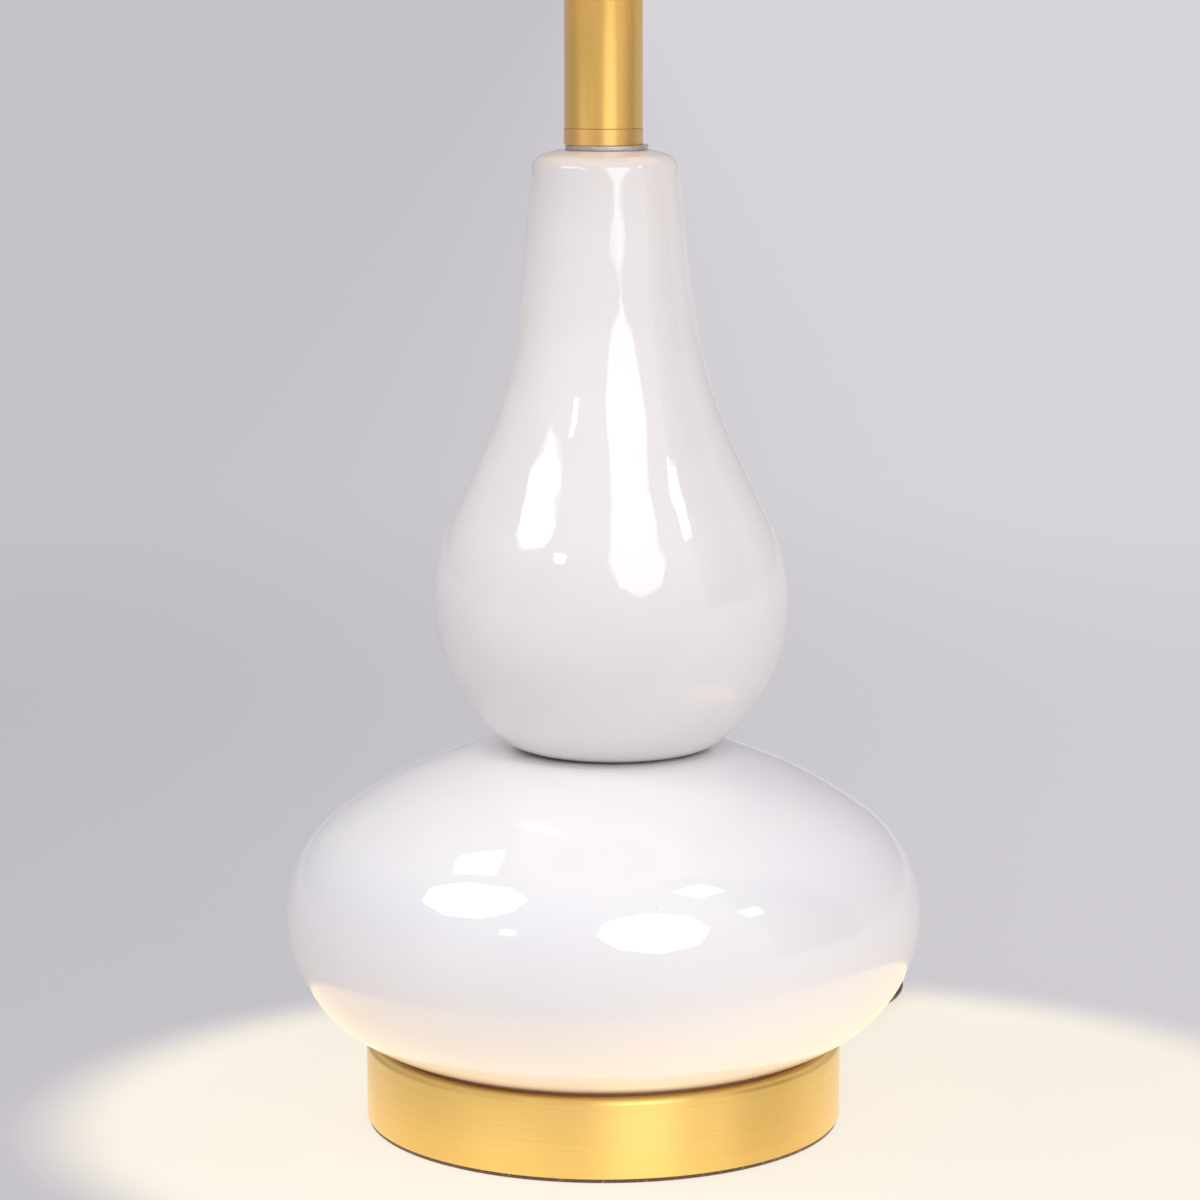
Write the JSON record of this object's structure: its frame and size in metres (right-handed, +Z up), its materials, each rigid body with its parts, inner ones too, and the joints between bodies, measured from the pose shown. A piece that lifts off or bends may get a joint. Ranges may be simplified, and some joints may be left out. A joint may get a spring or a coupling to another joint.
{
  "type": "table lamp",
  "caption": "Table lamp with a double gourd body of white glazed ceramic on a brass drum base, with a brass neck tube, harp, drum shade, switched socket, bulb and cord with plug.",
  "frame": {"origin": "centre of the felt pad's underside, on the surface the lamp stands on", "axes": "+Z up along the pipe, -Y the front with the switch knob, +X to the right seen from the front"},
  "size_m": [0.2554, 0.3381, 0.5917],
  "materials": {
    "felt": "dense felt",
    "brass": "brushed and lacquered",
    "iron": "as cast",
    "zinc_steel": "zinc plated",
    "glaze": "glossy white glaze",
    "paper": "pressed paper",
    "black_plastic": "moulded",
    "bulb_glass": "frosted, lit",
    "aluminium": "rolled thread",
    "shade_cloth": "plain weave on a stiff lining",
    "shade_wire": "plated wire",
    "black_rubber": "smooth"
  },
  "bodies": {
    "lamp": {"felt_pad": "felt", "base_shell": "brass", "base_weight": "iron", "base_nut": "zinc_steel", "base_nut_washer": "zinc_steel", "lamp_pipe": "zinc_steel", "lower_gourd": "glaze", "upper_gourd": "glaze", "neck_washer": "zinc_steel", "neck_collar": "brass", "neck_tube": "brass", "tube_cap": "brass", "neck_nut": "brass", "harp_saddle": "brass", "harp": "brass", "socket_cap": "brass", "socket_shell": "brass", "socket_liner": "paper", "switch_insulator": "black_plastic", "socket_screw_shell": "brass", "socket_contact": "brass", "bulb_glass": "bulb_glass", "bulb_cap": "aluminium", "bulb_tip": "aluminium", "finial": "brass", "strain_relief": "black_rubber", "lamp_lead": "black_rubber", "cord": "black_rubber", "cord_coil": "black_rubber", "cord_tail": "black_rubber", "plug_body": "black_rubber", "plug_blades": "brass"},
    "shade": {"shade_cover": "shade_cloth", "shade_trim_top": "shade_cloth", "shade_trim_bottom": "shade_cloth", "shade_spider": "shade_wire", "shade_bottom_ring": "shade_wire"},
    "switch": {"switch_shaft": "brass", "switch_knob": "black_plastic"},
    "sleeve_left": {"harp_sleeve_left": "brass"},
    "sleeve_right": {"harp_sleeve_right": "brass"}
  },
  "joints": [
    {"name": "shade_swivel", "type": "hinge", "parent": "lamp", "child": "shade", "pos_m": [0, 0, 0.5699], "axis": [0, 0, 1], "continuous": true},
    {"name": "switch_turn", "type": "hinge", "parent": "lamp", "child": "switch", "pos_m": [0, -0.02, 0.4145], "axis": [0, -1, 0], "continuous": true},
    {"name": "sleeve_left_slide", "type": "slide", "parent": "lamp", "child": "sleeve_left", "axis": [0, 0, 1], "range_m": [0, 0.011]},
    {"name": "sleeve_right_slide", "type": "slide", "parent": "lamp", "child": "sleeve_right", "axis": [0, 0, 1], "range_m": [0, 0.011]}
  ]
}
